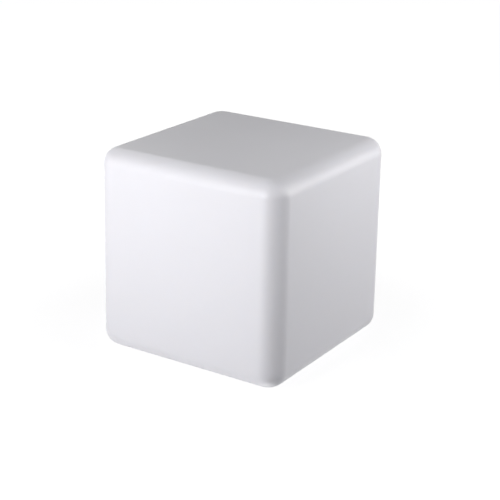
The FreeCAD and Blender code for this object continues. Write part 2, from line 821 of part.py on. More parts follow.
def heat_spreader():
    plate = cylinder(tub_inside - fit_gap, deck, deck_top)
    holes = [cylinder(m3_radius + hole_gap, deck, deck_top, x, y) for x, y, _ in pillar_places()]
    holes += [cylinder(m3_radius + thread_gap, deck, deck_top, x, y) for x, y, _ in led_screw_places()]
    holes.append(cylinder(sleeve_radius + grommet_wall + thread_gap, deck, deck_top, *lead_place()))
    return plate.cut(holes)


def lead_grommet():
    """A rubber sleeve with a lip on both faces of the plate."""
    inner = sleeve_radius + thread_gap
    outer = sleeve_radius + grommet_wall
    lip = outer + grommet_lip
    profile = [(inner, deck - grommet_lip), (lip, deck - grommet_lip), (lip, deck), (outer, deck),
               (outer, deck_top), (lip, deck_top), (lip, deck_top + grommet_lip),
               (inner, deck_top + grommet_lip)]
    return turned(profile, *lead_place())


def led_screw_places():
    return around(3, led_screw_radius, led_screw_first_angle)


def thermal_pad():
    pad = cylinder(led_board_radius - 2.0, deck_top, led_board_low)
    return pad.cut([cylinder(m3_radius + hole_gap, deck_top, led_board_low, x, y)
                    for x, y, _ in led_screw_places()])


def led_board():
    board = cylinder(led_board_radius, led_board_low, led_board_top)
    return board.cut([cylinder(m3_radius + hole_gap, led_board_low, led_board_top, x, y)
                      for x, y, _ in led_screw_places()])


def leds():
    """Two rings of square LEDs; the lead passes half-way between two of them."""
    chips = []
    rings = (led_outer_ring, led_outer_count), (led_inner_ring, led_inner_count)
    for radius, count in rings:
        for x, y, angle in around(count, radius, lead_angle + 180.0 / count):
            chip = centred(led_side, led_side, led_board_top, led_board_top + led_height)
            chip.rotate(Vector(0, 0, 0), Vector(0, 0, 1), angle)
            chip.translate(Vector(x, y, 0))
            chips.append(chip)
    return chips


def led_board_screws():
    length = led_board_thickness + pad_thickness + deck_thickness
    return [m3_screw(x, y, led_board_top, length) for x, y, _ in led_screw_places()]


def led_plug():
    """The lead's connector on the LED board, between the two rings."""
    angle = math.radians(lead_angle)
    radius = led_screw_radius
    plug = centred(plug_length, header_size[1], led_board_top, led_board_top + header_size[2])
    plug.rotate(Vector(0, 0, 0), Vector(0, 0, 1), lead_angle)
    plug.translate(Vector(radius * math.cos(angle), radius * math.sin(angle), 0))
    return plug


def remote_receiver():
    length, width, height = receiver_size
    body = centred(length, width, led_board_top, led_board_top + height)
    lens = Part.makeSphere(receiver_lens_radius, Vector(0, 0, led_board_top + height))
    return body.fuse(lens).removeSplitter()


def cover_seal():
    return ring(tub_inside + fit_gap, tub_outside - fit_gap, tub_rim, deck_top)


def cup(inset, low):
    """The cover's outside or, one wall further in, its hollow."""
    high = cover_base + cover_height - inset
    body = cylinder(cover_radius - inset, low, high)
    return body.makeFillet(cover_shoulder_radius - inset, edges_at(body, high))


def light_cover():
    """Clear round cover with a flange, screwed down on the tray's pillars."""
    flange = cylinder(tub_outside, deck_top, cover_base)
    cover = flange.fuse(cup(0.0, deck_top)).cut(cup(cover_wall, deck_top))
    return cover.cut([cylinder(m3_radius + hole_gap, deck_top, cover_base, x, y)
                     for x, y, _ in pillar_places()])


def cover_screws():
    length = cover_flange_thickness + deck_thickness + pilot_depth - 1.0
    return [m3_screw(x, y, cover_base, length) for x, y, _ in pillar_places()]


# ---- Leads ----
def battery_lead(offset):
    """One wire from the battery's protection board to the left header, in nested loops."""
    loop_x = -max(battery_end, board_length / 2) - lead_loop - offset
    start_y = battery_near_side + 6.0 + offset
    end_y = board_middle - offset
    level = board_top + header_size[2] / 2
    return lead([(-battery_end, start_y, cell_axis), (loop_x, start_y, cell_axis),
                 (loop_x, end_y, level), (-board_length / 2, end_y, level)], wire_radius)


def led_lead():
    """A sleeve with the five wires of the LED board, up through the grommet."""
    x, y = lead_place()
    level = board_top + header_size[2] / 2
    angle = math.radians(lead_angle)
    end = led_screw_radius + plug_length / 2
    dip = (end + lead_radius) / 2
    plug_level = led_board_top + header_size[2] / 2
    return lead([(board_length / 2, board_middle, level), (x, board_middle, level), (x, y, level),
                 (x, y, plug_level + lead_arch),
                 (dip * math.cos(angle), dip * math.sin(angle), plug_level),
                 (end * math.cos(angle), end * math.sin(angle), plug_level)], sleeve_radius)


# ---- The list of pieces ----
def pieces():
    feet = dict(zip(("foot_front_left", "foot_front_right", "foot_back_left", "foot_back_right"),
                    foot_places()))
    made = {name: foot(x, y) for name, (x, y) in feet.items()}
    singles = (shell, base_gasket, base_tray, power_button, button_seal, button_spring, push_switch,
               switch_plunger, charge_socket, socket_pin, socket_seal, port_cap, port_cap_anchor,
               light_pipe, indicator_lamp, vent_plug, vent_seal, control_board, protection_board,
               battery_clamp, heat_spreader, lead_grommet, thermal_pad, led_board, led_plug,
               remote_receiver, cover_seal, light_cover, led_lead)
    groups = (insert_nuts, base_screws, board_chips, control_board_screws, battery_cells, cell_strips,
              clamp_screws, leds, led_board_screws, cover_screws)
    made.update({make.__name__: make() for make in singles})
    made.update({make.__name__: Part.makeCompound(make()) for make in groups})
    made["battery_header"] = header(-1)
    made["led_header"] = header(1)
    made["battery_lead_positive"] = battery_lead(1.3)
    made["battery_lead_negative"] = battery_lead(-1.3)
    return made


def main():
    os.makedirs("parts", exist_ok=True)
    for name, shape in pieces().items():
        if not shape.isValid() or not shape.Solids:
            raise RuntimeError(f"{name} is not a sound solid")
        shape.exportStep(f"parts/{name}.step")
        print(f"{name}: {len(shape.Solids)} solid(s), {shape.Volume / 1000:.2f} cm3")


main()
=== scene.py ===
import math

import bmesh
import bpy
from mathutils import Matrix, Vector


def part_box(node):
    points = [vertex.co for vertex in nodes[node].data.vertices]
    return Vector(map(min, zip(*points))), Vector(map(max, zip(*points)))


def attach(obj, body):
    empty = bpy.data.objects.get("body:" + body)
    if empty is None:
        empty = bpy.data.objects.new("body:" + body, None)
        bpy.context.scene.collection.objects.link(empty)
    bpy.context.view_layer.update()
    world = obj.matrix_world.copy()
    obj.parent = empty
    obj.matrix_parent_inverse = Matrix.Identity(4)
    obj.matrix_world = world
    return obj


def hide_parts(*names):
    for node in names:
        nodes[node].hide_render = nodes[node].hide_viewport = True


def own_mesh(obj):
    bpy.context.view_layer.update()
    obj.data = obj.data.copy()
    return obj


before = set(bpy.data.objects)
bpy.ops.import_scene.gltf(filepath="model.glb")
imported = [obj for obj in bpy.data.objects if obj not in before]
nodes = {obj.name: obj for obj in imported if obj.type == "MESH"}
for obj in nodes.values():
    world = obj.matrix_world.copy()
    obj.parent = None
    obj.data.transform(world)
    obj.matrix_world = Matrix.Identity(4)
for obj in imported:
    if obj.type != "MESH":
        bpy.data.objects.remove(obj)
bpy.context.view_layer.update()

bl_info = {
    "name": "Cube Light Looks",
    "version": (1, 0, 0),
    "blender": (4, 5, 0),
    "location": "3D View > Sidebar > Cube Light",
    "description": "Dresses the frame of a battery cube light and sets up its studio",
    "category": "Object",
}

MM = 0.001
WELD_DISTANCE = 0.002 * MM      # joins the loose triangles of a CAD node
RECESS_HEIGHTS = (0.35, 1.1)    # bottom and top of a screw's cross, in shares of its head's height
RECESS_LENGTHS = (0.32, 0.58)   # half the length of the cross there, in shares of its head's radius
RECESS_WIDTHS = (0.09, 0.17)    # half the width of the cross there, likewise

# Radius of the shank and of the head, height of the head and pitch of the thread, in mm.
M3_PAN_HEAD = (1.5, 2.8, 2.0, 0.5)
M4_PAN_HEAD = (2.0, 3.8, 2.6, 0.7)

# Width of the cube halfway up, in metres. The camera's distance and offsets were fitted in shares of it.
FITTED_WIDTH = 0.3986
SENSOR_WIDTH = 36.0             # mm
FLOOR_REACH = 6.0               # metres from the middle to the floor's edge


# ---- Small tools ----
def linear(hex_colour):
    """An sRGB hex value as linear red, green, blue and alpha."""
    channels = [int(hex_colour[i:i + 2], 16) / 255 for i in (1, 3, 5)]
    return tuple(c / 12.92 if c <= 0.04045 else ((c + 0.055) / 1.055) ** 2.4 for c in channels) + (1.0,)


def per_metre(size_mm):
    """Scale of a pattern whose features are size_mm apart, on Object coordinates in metres."""
    return 1.0 / (size_mm * MM)


def add_node(tree, kind, settings=None, links=None):
    """Adds a node, sets its properties and sockets by name or number, and links sockets into it."""
    node = tree.nodes.new(kind)
    for name, value in (settings or {}).items():
        if isinstance(name, int) or name in node.inputs:
            node.inputs[name].default_value = value
        else:
            setattr(node, name, value)
    for name, socket in (links or {}).items():
        tree.links.new(socket, node.inputs[name])
    return node


def new_material(name, shader_settings):
    """A material with one Principled shader, and the coordinates its patterns read."""
    material = bpy.data.materials.new(name)
    material.use_nodes = True
    tree = material.node_tree
    tree.nodes.clear()
    shader = add_node(tree, "ShaderNodeBsdfPrincipled", shader_settings)
    add_node(tree, "ShaderNodeOutputMaterial", links={"Surface": shader.outputs[0]})
    place = add_node(tree, "ShaderNodeTexCoord").outputs["Object"]
    return material, tree, shader, place


def grain(tree, shader, place, size_mm, depth_mm, detail=2.0, before=None):
    """A fine random relief, as deep as the real surface, over a coarser one if there is one."""
    noise = add_node(tree, "ShaderNodeTexNoise", {"Scale": per_metre(size_mm), "Detail": detail},
                     {"Vector": place})
    links = {"Height": noise.outputs[0]}
    if before:
        links["Normal"] = before.outputs[0]
    bump = add_node(tree, "ShaderNodeBump", {"Distance": depth_mm * MM, "Strength": 1.0}, links)
    tree.links.new(bump.outputs[0], shader.inputs["Normal"])
    return bump


def mottle(tree, place, size_mm, low, high, detail=3.0):
    """A random value between low and high that drifts over size_mm."""
    noise = add_node(tree, "ShaderNodeTexNoise", {"Scale": per_metre(size_mm), "Detail": detail},
                     {"Vector": place})
    return add_node(tree, "ShaderNodeMapRange",
                    {"From Min": 0.3, "From Max": 0.7, "To Min": low, "To Max": high},
                    {"Value": noise.outputs[0]}).outputs[0]


def blend_colours(tree, factor, first, second):
    """The first colour where the factor is 0, the second where it is 1."""
    mix = add_node(tree, "ShaderNodeMix", {"data_type": "RGBA", 6: first, 7: second}, {0: factor})
    return mix.outputs[2]


def paint(material, *names):
    """Gives the named CAD nodes the material in place of their own."""
    for name in names:
        mesh = nodes[name].data
        mesh.materials.clear()
        mesh.materials.append(material)


# ---- Making meshes ----
def solids_of(name):
    """The lowest and highest corner of each separate solid in a CAD node."""
    mesh = bmesh.new()
    mesh.from_mesh(nodes[name].data)
    bmesh.ops.remove_doubles(mesh, verts=mesh.verts, dist=WELD_DISTANCE)
    boxes, seen = [], set()
    for start in mesh.verts:
        if start in seen:
            continue
        seen.add(start)
        island = [start]
        for vert in island:
            near = {edge.other_vert(vert) for edge in vert.link_edges} - seen
            seen |= near
            island.extend(near)
        low, high = ([pick(v.co[i] for v in island) for i in range(3)] for pick in (min, max))
        boxes.append((Vector(low), Vector(high)))
    mesh.free()
    return boxes


def middle_of(low, high, height):
    """The point at the given height over or under the middle of a box."""
    return (low[0] + high[0]) / 2, (low[1] + high[1]) / 2, height


def new_object(name, data, material=None):
    """An object in the scene with its mesh, curve, light or camera."""
    made = bpy.data.objects.new(name, data)
    bpy.context.collection.objects.link(made)
    if material:
        data.materials.append(material)
    return made


def mesh_from(name, work):
    """Turns a working mesh into a finished one whose faces point outwards."""
    bmesh.ops.recalc_face_normals(work, faces=work.faces)
    made = bpy.data.meshes.new(name)
    work.to_mesh(made)
    work.free()
    return made


def smooth(mesh, angle=35.0):
    """Smooth shading that keeps the edges sharper than the angle."""
    mesh.polygons.foreach_set("use_smooth", [True] * len(mesh.polygons))
    mesh.set_sharp_from_angle(angle=math.radians(angle))
    return mesh


def lathed(name, profile, segments=32):
    """A closed turned mesh. The profile holds radius and height in mm, and starts and ends on the axis."""
    mesh = bmesh.new()
    rings = []
    for radius, height in profile:
        angles = [2 * math.pi * i / segments for i in range(segments)] if radius > 0 else [0.0]
        rings.append([mesh.verts.new((radius * MM * math.cos(a), radius * MM * math.sin(a), height * MM))
                      for a in angles])
    for below, above in zip(rings, rings[1:]):
        for i in range(segments):
            corners = [below[i % len(below)], below[(i + 1) % len(below)],
                       above[(i + 1) % len(above)], above[i % len(above)]]
            mesh.faces.new(list(dict.fromkeys(corners)))
    return mesh_from(name, mesh)


def prism(name, low_points, high_points):
    """A closed mesh between two outlines, points in mm with x, y and z."""
    count = len(low_points)
    faces = [tuple(range(count))[::-1], tuple(range(count, 2 * count))]
    faces += [(i, (i + 1) % count, (i + 1) % count + count, i + count) for i in range(count)]
    mesh = bpy.data.meshes.new(name)
    mesh.from_pydata([Vector(point) * MM for point in list(low_points) + list(high_points)], [], faces)
    return mesh


def carved(mesh, *cutters):
    """The mesh with the cutters taken out of it."""
    for cutter in cutters:
        body, tool = new_object("body", mesh), new_object("tool", cutter)
        cut = body.modifiers.new("cut", "BOOLEAN")
        cut.operation, cut.object, cut.solver = "DIFFERENCE", tool, "EXACT"
        mesh = evaluated_mesh(body)
        bpy.data.objects.remove(body)
        bpy.data.objects.remove(tool)
    return mesh


def evaluated_mesh(piece):
    """What the piece's modifiers make of it, as a plain mesh."""
    bpy.context.view_layer.update()
    return bpy.data.meshes.new_from_object(piece.evaluated_get(bpy.context.evaluated_depsgraph_get()))


def copies_tree():
    """Puts a part on every point, turned by the point's own turn and by a random share of the spread."""
    tree = bpy.data.node_groups.new("copies on points", "GeometryNodeTree")
    for name, kind in (("Points", "Geometry"), ("Part", "Object"), ("Spread", "Float"), ("Seed", "Int"),
                       ("Material", "Material")):
        tree.interface.new_socket(name, in_out="INPUT", socket_type="NodeSocket" + kind)
    tree.interface.new_socket("Copies", in_out="OUTPUT", socket_type="NodeSocketGeometry")
    given = add_node(tree, "NodeGroupInput").outputs
    chance = add_node(tree, "FunctionNodeRandomValue", {"data_type": "FLOAT"},
                      {3: given["Spread"], "Seed": given["Seed"]})
    turn = add_node(tree, "GeometryNodeInputNamedAttribute", {"data_type": "FLOAT", "Name": "turn"})
    total = add_node(tree, "ShaderNodeMath", {"operation": "ADD"}, {0: chance.outputs[1], 1: turn.outputs[0]})
    rotation = add_node(tree, "ShaderNodeCombineXYZ", links={"Z": total.outputs[0]})
    part = add_node(tree, "GeometryNodeObjectInfo", links={"Object": given["Part"]})
    copies = add_node(tree, "GeometryNodeInstanceOnPoints", links={
        "Points": given["Points"], "Instance": part.outputs["Geometry"], "Rotation": rotation.outputs[0]})
    real = add_node(tree, "GeometryNodeRealizeInstances", links={"Geometry": copies.outputs[0]})
    finish = add_node(tree, "GeometryNodeSetMaterial",
                      links={"Geometry": real.outputs[0], "Material": given["Material"]})
    add_node(tree, "NodeGroupOutput", links={"Copies": finish.outputs[0]})
    return tree


def copies(name, part, places, material, spread=0.0, seed=0):
    """One mesh piece with the part at each place: x, y and z in metres and a turn in radians."""
    tree = bpy.data.node_groups.get("copies on points") or copies_tree()
    points = bpy.data.meshes.new(name + "_points")
    points.from_pydata([place[:3] for place in places], [], [])
    points.attributes.new("turn", "FLOAT", "POINT").data.foreach_set("value", [place[3] for place in places])
    carrier, pattern = new_object(name + "_carrier", points), new_object(name + "_pattern", part)
    modifier = carrier.modifiers.new("copies", "NODES")
    modifier.node_group = tree
    sockets = {item.name: item.identifier for item in tree.interface.items_tree if item.in_out == "INPUT"}
    for socket, value in (("Part", pattern), ("Spread", spread), ("Seed", seed), ("Material", material)):
        modifier[sockets[socket]] = value
    mesh = smooth(evaluated_mesh(carrier))
    bpy.data.objects.remove(carrier)
    bpy.data.objects.remove(pattern)
    return new_object(name, mesh)


def fit_piece(piece, body, slot, *replaced):
    """Makes a finished piece part of the object, on a body and in place of the CAD nodes named."""
    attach(piece, body)
    if replaced:
        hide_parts(*replaced)


# ---- Materials ----
def milky_polyethylene(look):
    """Rotomoulded polyethylene: satin, slightly uneven from the mould, and light sinks a little way in."""
    material, tree, shader, place = new_material("milky rotomoulded polyethylene", {
        "Base Color": look.colour, "Roughness": look.roughness, "IOR": 1.51,
        "Subsurface Weight": look.scattering, "Subsurface Radius": (1.0, 0.95, 0.9),
        "Subsurface Scale": look.scattering_depth})
    waves = grain(tree, shader, place, look.wave_size, look.wave_depth, 1.0)
    grain(tree, shader, place, look.grain_size, look.grain_depth, 3.0, waves)
    tree.links.new(mottle(tree, place, 90.0, look.roughness - 0.03, look.roughness + 0.03),
                   shader.inputs["Roughness"])
    return material


def moulded_plastic(name, hex_colour, roughness, grain_mm, grain_depth_mm):
    """Injection-moulded plastic with an even spark-eroded or polished grain."""
    material, tree, shader, place = new_material(name, {"Base Color": linear(hex_colour), "IOR": 1.53})
    grain(tree, shader, place, grain_mm, grain_depth_mm)
    tree.links.new(mottle(tree, place, 25.0, roughness - 0.04, roughness + 0.04), shader.inputs["Roughness"])
    return material


def moulded_rubber(name, hex_colour, bloom_hex):
    """Moulded rubber: dull, with a pale bloom in patches and a fine grain."""
    material, tree, shader, place = new_material(name, {"Roughness": 0.78, "IOR": 1.52,
                                                        "Sheen Weight": 0.08, "Sheen Roughness": 0.5})
    patches = mottle(tree, place, 9.0, 0.0, 0.35)
    tree.links.new(blend_colours(tree, patches, linear(hex_colour), linear(bloom_hex)),
                   shader.inputs["Base Color"])
    grain(tree, shader, place, 0.9, 0.03, 4.0)
    return material


def foam_rubber():
    """Closed-cell foam, die-cut from sheet: its cells show on the cut edge."""
    material, tree, shader, place = new_material("closed-cell foam rubber", {
        "Base Color": linear("#2A2A2B"), "Roughness": 0.92, "IOR": 1.5})
    cells = add_node(tree, "ShaderNodeTexVoronoi", {"Scale": per_metre(0.8)}, {"Vector": place})
    bump = add_node(tree, "ShaderNodeBump", {"Distance": 0.15 * MM}, {"Height": cells.outputs["Distance"]})
    tree.links.new(bump.outputs[0], shader.inputs["Normal"])
    return material


def plain_metal(name, hex_colour, roughness, stretch, grain_mm):
    """Bare or plated metal, with the fine lines of rolling or turning drawn out along its axes."""
    material, tree, shader, place = new_material(name, {"Base Color": linear(hex_colour), "Metallic": 1.0})
    along = add_node(tree, "ShaderNodeMapping", {"Scale": stretch}, {"Vector": place}).outputs[0]
    grain(tree, shader, along, grain_mm, 0.006, 2.0)
    tree.links.new(mottle(tree, along, 4.0 * grain_mm, roughness - 0.06, roughness + 0.08),
                   shader.inputs["Roughness"])
    return material


def sleeved_cell(sleeve_hex, can_hex, sleeve_end_mm):
    """Round cell: nickel-plated steel can, and a shrunk film sleeve that stops short of its ends."""
    material, tree, shader, place = new_material("shrunk film over a nickel-plated can", {"IOR": 1.5})
    along = add_node(tree, "ShaderNodeSeparateXYZ", links={0: place}).outputs["X"]
    from_middle = add_node(tree, "ShaderNodeMath", {"operation": "ABSOLUTE"}, {0: along}).outputs[0]
    bare = add_node(tree, "ShaderNodeMath", {"operation": "GREATER_THAN", 1: sleeve_end_mm * MM},
                    {0: from_middle}).outputs[0]
    tree.links.new(blend_colours(tree, bare, linear(sleeve_hex), linear(can_hex)),
                   shader.inputs["Base Color"])
    tree.links.new(bare, shader.inputs["Metallic"])
    tree.links.new(mottle(tree, place, 8.0, 0.2, 0.32), shader.inputs["Roughness"])
    grain(tree, shader, place, 6.0, 0.03)
    return material


def clear_plastic(name, hex_colour, ior, roughness):
    """Clear moulded plastic, with a faint flow ripple in its surface."""
    material, tree, shader, place = new_material(name, {
        "Base Color": linear(hex_colour), "IOR": ior, "Roughness": roughness, "Transmission Weight": 1.0})
    grain(tree, shader, place, 30.0, 0.05, 0.0)
    return material


def circuit_board(name, mask_hex, copper_hex, pitch_mm):
    """Glass-fibre or aluminium board: the copper tracks show through the solder mask."""
    material, tree, shader, place = new_material(name, {"Roughness": 0.32, "IOR": 1.5, "Coat Weight": 0.3,
                                                        "Coat Roughness": 0.15})
    tracks = add_node(tree, "ShaderNodeTexBrick", {
        "Scale": per_metre(pitch_mm) / 4.0, "Color1": (0, 0, 0, 1), "Color2": (0, 0, 0, 1),
        "Mortar": (1, 1, 1, 1), "Mortar Size": 0.03, "Mortar Smooth": 0.0}, {"Vector": place})
    tree.links.new(blend_colours(tree, tracks.outputs["Fac"], linear(mask_hex), linear(copper_hex)),
                   shader.inputs["Base Color"])
    bump = add_node(tree, "ShaderNodeBump", {"Distance": 0.04 * MM}, {"Height": tracks.outputs["Fac"]})
    tree.links.new(bump.outputs[0], shader.inputs["Normal"])
    return material


# ---- Settings a user would change ----
class ShellLook(bpy.types.PropertyGroup):
    """Colour and finish of the moulded shell"""

    colour: bpy.props.FloatVectorProperty(
        name="Colour", description="Colour of the milky shell", size=4, subtype="COLOR",
        min=0.0, max=1.0, default=linear("#F0EFF5"))
    roughness: bpy.props.FloatProperty(
        name="Roughness", description="Satin finish of the mould's blasted wall", subtype="FACTOR",
        min=0.0, max=1.0, default=0.42)
    scattering: bpy.props.FloatProperty(
        name="Scattering", description="Share of the light that goes through the surface", subtype="FACTOR",
        min=0.0, max=1.0, default=0.25)
    scattering_depth: bpy.props.FloatProperty(
        name="Scattering depth", description="How far light travels in the plastic", unit="LENGTH",
        default=0.004)
    grain_size: bpy.props.FloatProperty(
        name="Grain size", description="Millimetres between the grains; drawn coarser than real to show",
        default=1.4)
    grain_depth: bpy.props.FloatProperty(
        name="Grain depth", description="Millimetres from valley to peak", default=0.012)
    wave_size: bpy.props.FloatProperty(
        name="Wave size", description="Millimetres between the soft waves that cooling leaves", default=70.0)
    wave_depth: bpy.props.FloatProperty(
        name="Wave depth", description="Millimetres from valley to peak of those waves", default=0.15)


class DetailLook(bpy.types.PropertyGroup):
    """Sizes of the small pieces that are made here"""

    symbol_radius: bpy.props.FloatProperty(
        name="Symbol radius", description="Middle of the ring on the push button", unit="LENGTH",
        default=2.9 * MM)
    symbol_line: bpy.props.FloatProperty(
        name="Symbol line", description="Width of the lines of that sign", unit="LENGTH", default=0.6 * MM)
    symbol_height: bpy.props.FloatProperty(
        name="Symbol height", description="How far the sign stands out of the button", unit="LENGTH",
        default=0.15 * MM)
    spring_turns: bpy.props.FloatProperty(
        name="Spring turns", description="Turns of the button's return spring, the closed ones with it",
        default=6.0, min=3.0)
    spring_wire: bpy.props.FloatProperty(
        name="Spring wire", description="Diameter of the spring's wire", unit="LENGTH", default=0.7 * MM)
    button_travel: bpy.props.FloatProperty(
        name="Button travel", description="How far the button goes in", unit="LENGTH", default=1.6 * MM)
    led_side: bpy.props.FloatProperty(
        name="LED side", description="Side of the square LED packages", unit="LENGTH", default=5.0 * MM)


class StageLook(bpy.types.PropertyGroup):
    """Camera, light level and floor"""

    lens: bpy.props.FloatProperty(
        name="Lens", description="Focal length on a 36 mm sensor, from the photo's perspective",
        subtype="DISTANCE_CAMERA", default=97.65)
    distance: bpy.props.FloatProperty(
        name="Distance", description="From the camera to the middle of the cube", unit="LENGTH",
        default=6.527 * FITTED_WIDTH)
    azimuth: bpy.props.FloatProperty(
        name="Azimuth", description="Turn of the camera round the cube", subtype="ANGLE",
        default=math.radians(32.56))
    elevation: bpy.props.FloatProperty(
        name="Elevation", description="Height of the camera over the horizon", subtype="ANGLE",
        default=math.radians(19.94))
    roll: bpy.props.FloatProperty(
        name="Roll", description="Tilt of the camera about its own axis", subtype="ANGLE",
        default=math.radians(1.121))
    offset_right: bpy.props.FloatProperty(
        name="Offset right", description="Where the cube's middle lies in the camera's view, to the right",
        unit="LENGTH", default=-0.0306 * FITTED_WIDTH)
    offset_down: bpy.props.FloatProperty(
        name="Offset down", description="Where the cube's middle lies in the camera's view, downwards",
        unit="LENGTH", default=-0.0444 * FITTED_WIDTH)
    light_level: bpy.props.FloatProperty(
        name="Light level", description="Strength of all the soft lights together", subtype="FACTOR",
        default=1.0, min=0.0, soft_max=2.0)
    floor_colour: bpy.props.FloatVectorProperty(
        name="Floor colour", description="Paper floor, as the eye sees it", size=4, subtype="COLOR",
        min=0.0, max=1.0, default=linear("#8A8A8B"))
    floor_bounce: bpy.props.FloatVectorProperty(
        name="Floor bounce", description="Paper floor, as it throws light back on the cube", size=4,
        subtype="COLOR", min=0.0, max=1.0, default=linear("#505052"))
    shadow_depth: bpy.props.FloatProperty(
        name="Shadow depth", description="How dark the shadow under the cube may get", subtype="FACTOR",
        min=0.0, max=1.0, default=0.16)
    shadow_reach: bpy.props.FloatProperty(
        name="Shadow reach", description="Beyond this distance the floor is plain white", unit="LENGTH",
        default=0.85)


# ---- Pieces ----
def pan_screw(shank_radius, head_radius, head_height, length, thread_pitch, head_up):
    """A pan-head machine screw with a cross recess; its head stands on z = 0. Sizes in mm."""
    root = shank_radius - 0.6 * thread_pitch
    point = 0.3 * shank_radius
    plain_neck = 0.5
    profile = [(0, -length), (0.7 * root, -length), (root, -length + point)]
    for i in range(int((length - point - plain_neck) / thread_pitch)):
        low = -length + point + i * thread_pitch
        profile += [(shank_radius, low + 0.4 * thread_pitch), (shank_radius, low + 0.55 * thread_pitch),
                    (root, low + 0.95 * thread_pitch)]
    profile += [(root, 0), (0.93 * head_radius, 0), (head_radius, 0.07 * head_height)]
    # The head's side curves over in a quarter round, 0.55 of its size, that stands on the other 0.45.
    for i in range(1, 7):
        angle = math.radians(15.0 * i)
        profile.append((head_radius * (0.45 + 0.55 * math.cos(angle)),
                        head_height * (0.45 + 0.55 * math.sin(angle))))
    profile.append((0, head_height))
    screw = carved(lathed("screw", profile, 24), *cross_recess(head_radius, head_height))
    if not head_up:
        screw.transform(Matrix.Rotation(math.pi, 4, "X"))
    return screw


def cross_recess(head_radius, head_height):
    """The two tapered blades, at right angles, that press the cross into a screw's head."""
    blades = []
    for turn in (0.0, math.pi / 2):
        cos, sin = math.cos(turn), math.sin(turn)
        outlines = []
        for height, long, wide in zip(RECESS_HEIGHTS, RECESS_LENGTHS, RECESS_WIDTHS):
            x, y = long * head_radius, wide * head_radius
            outlines.append([(u * cos - v * sin, u * sin + v * cos, height * head_height)
                             for u, v in ((-x, -y), (x, -y), (x, y), (-x, y))])
        blades.append(prism("blade", *outlines))
    return blades


def screws(name, thread, material, head_up):
    """Stands in for a CAD node of screws. Each is turned by chance, as a screwdriver leaves it."""
    shank_radius, head_radius, head_height, thread_pitch = thread
    boxes = solids_of(name)
    low, high = boxes[0]
    length = (high.z - low.z) / MM - head_height
    part = pan_screw(shank_radius, head_radius, head_height, length, thread_pitch, head_up)
    places = []
    for low, high in boxes:
        seat = high.z - head_height * MM if head_up else low.z + head_height * MM
        places.append((*middle_of(low, high, seat), 0.0))
    # The name's length gives each set a seed of its own that stays the same from run to run.
    return copies("pan_head_" + name, part, places, material, spread=2 * math.pi, seed=len(name))


def raised_symbol(look):
    """A ring with a gap and a bar, the plain sign for power, a little proud of the button's face."""
    low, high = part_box("power_button")
    radius, half_width = look.symbol_radius / MM, look.symbol_line / MM / 2
    half_gap, steps = 38.0, 48
    sunk, proud = 0.35, -look.symbol_height / MM
    outer, inner = [], []
    for i in range(steps + 1):
        angle = math.radians(90.0 + half_gap + (360.0 - 2 * half_gap) * i / steps)
        for points, r in ((outer, radius + half_width), (inner, radius - half_width)):
            points.append((r * math.cos(angle), r * math.sin(angle)))
    ring = outer + inner[::-1]
    bar = [(-half_width, 0.15 * radius), (half_width, 0.15 * radius),
           (half_width, 1.25 * radius), (-half_width, 1.25 * radius)]
    sign = bmesh.new()
    for outline in (ring, bar):
        sign.from_mesh(prism("sign", [(x, y, proud) for x, y in outline], [(x, y, sunk) for x, y in outline]))
    made = mesh_from("power_symbol", sign)
    made.transform(Matrix.Translation(middle_of(low, high, low[2])))
    return made


class CubeLightOperator:
    """What the steps below have in common"""
    bl_options = {"REGISTER", "UNDO"}


class CUBELIGHT_OT_shell(CubeLightOperator, bpy.types.Operator):
    """Gives the moulded cube its milky satin plastic"""
    bl_idname = "cube_light.shell"
    bl_label = "Shell"

    def execute(self, context):
        paint(milky_polyethylene(context.scene.cube_light_shell), "shell")
        return {"FINISHED"}


class CUBELIGHT_OT_base(CubeLightOperator, bpy.types.Operator):
    """Finishes the tray, feet, seals, button and socket under the cube"""
    bl_idname = "cube_light.base"
    bl_label = "Base module"

    def execute(self, context):
        paint(moulded_plastic("spark-eroded grey ABS", "#A4A6A8", 0.55, 0.7, 0.03), "base_tray",
              "battery_clamp")
        paint(moulded_rubber("moulded black rubber", "#1A1A1B", "#2C2C2D"), "foot_front_left",
              "foot_front_right", "foot_back_left", "foot_back_right", "vent_seal", "button_seal",
              "socket_seal", "lead_grommet", "cover_seal")
        paint(foam_rubber(), "base_gasket")
        paint(moulded_rubber("moulded grey silicone", "#63666A", "#74777B"), "port_cap", "port_cap_anchor")
        paint(moulded_plastic("moulded black nylon", "#1E1E20", 0.45, 0.5, 0.015), "vent_plug",
              "push_switch", "charge_socket")
        paint(moulded_plastic("polished white ABS", "#E6E7E8", 0.25, 2.0, 0.01), "power_button")
        symbol = new_object("power_symbol", raised_symbol(context.scene.cube_light_details),
                            moulded_plastic("grey pad-printed ink", "#8C9094", 0.35, 0.6, 0.005))
        fit_piece(symbol, "push_button", "button_white")
        paint(moulded_plastic("moulded red acetal", "#A5261D", 0.4, 0.5, 0.01), "switch_plunger")
        paint(clear_plastic("clear moulded acrylic", "#F4F8FA", 1.49, 0.03), "light_pipe")
        return {"FINISHED"}


